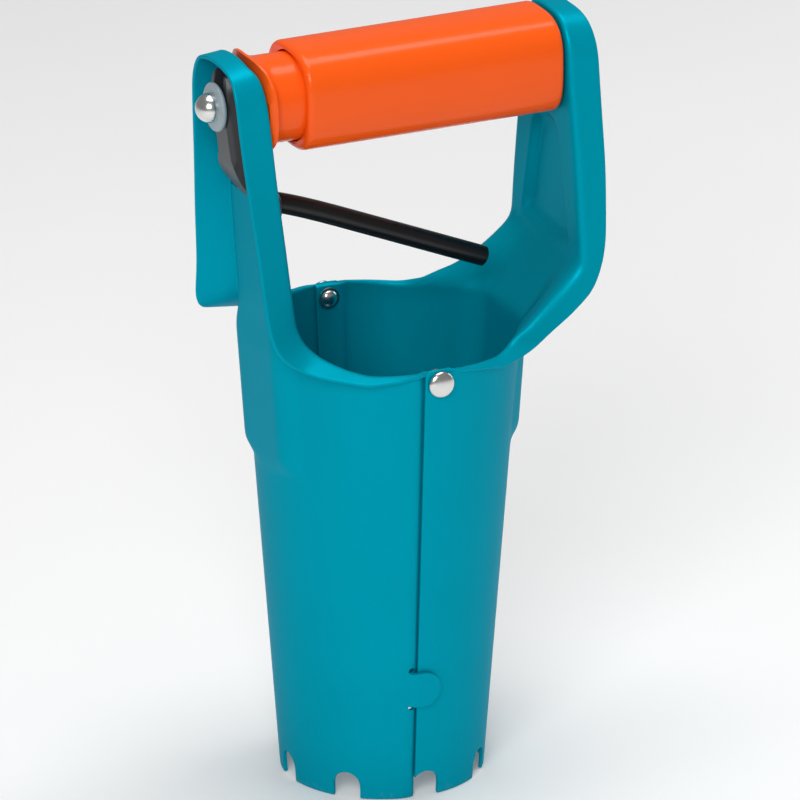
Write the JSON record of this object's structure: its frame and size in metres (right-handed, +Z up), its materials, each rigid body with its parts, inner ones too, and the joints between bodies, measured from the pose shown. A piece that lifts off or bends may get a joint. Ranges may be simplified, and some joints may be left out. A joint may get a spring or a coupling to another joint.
{
  "type": "bulb planter",
  "caption": "Hand bulb planter: tapered toothed steel tube in two hinged halves with arms to a cross grip; a squeezed rod lever opens the tube to drop the soil.",
  "frame": {"origin": "the tube's axis at the height of the tooth tips", "axes": "+Z up along the tube, +X along the grip from the lever's side to the plain side, -Y is the front, where the tab is"},
  "size_m": [0.1315, 0.0932, 0.2475],
  "materials": {
    "painted_shell": "satin powder coat",
    "grip_plastic": "glossy moulded",
    "bright_steel": "bright plated",
    "spring_steel": "drawn wire",
    "washer_plastic": "satin moulded",
    "lever_plastic": "satin moulded",
    "black_rod": "satin black lacquer"
  },
  "bodies": {
    "frame": {"left_shell": "painted_shell", "front_hinge_rivet": "bright_steel", "rear_hinge_rivet": "bright_steel", "front_rivet_washer": "bright_steel", "rear_rivet_washer": "bright_steel"},
    "swinging_half": {"right_shell": "painted_shell"},
    "grip_core": {"inner_tube": "grip_plastic", "return_spring": "spring_steel", "left_spring_seat": "spring_steel"},
    "grip": {"grip_sleeve": "grip_plastic", "tie_rod": "bright_steel", "rod_dome": "bright_steel", "pull_washer": "washer_plastic", "rod_washer": "bright_steel", "rod_nut": "bright_steel", "right_spring_seat": "spring_steel"},
    "lever": {"release_lever": "lever_plastic", "lever_rod": "black_rod"}
  },
  "joints": [
    {"name": "shell_opening", "type": "hinge", "parent": "frame", "child": "swinging_half", "pos_m": [0, 0, 0.144], "axis": [0, -1, 0], "range_deg": [0, 6.5], "stiffness_Nm_per_rad": 15, "springref_deg": -6.88},
    {"name": "grip_tilt", "type": "hinge", "parent": "frame", "child": "grip_core", "pos_m": [-0.04979, 0, 0.2305], "axis": [0, -1, 0], "range_deg": [0, 3.6]},
    {"name": "grip_slide", "type": "slide", "parent": "grip_core", "child": "grip", "axis": [1, 0, 0], "range_m": [-0.0102, 0], "deforming": ["return_spring"]},
    {"name": "lever_squeeze", "type": "hinge", "parent": "frame", "child": "lever", "pos_m": [-0.0477, 0, 0.2012], "axis": [0, -1, 0], "range_deg": [0, 15]}
  ],
  "couplings": [
    {"joint": "grip_tilt", "follows": "shell_opening", "ratio": 0.543},
    {"joint": "grip_slide", "follows": "shell_opening", "m_per_rad": -0.0879},
    {"joint": "lever_squeeze", "follows": "shell_opening", "ratio": 2.3}
  ]
}
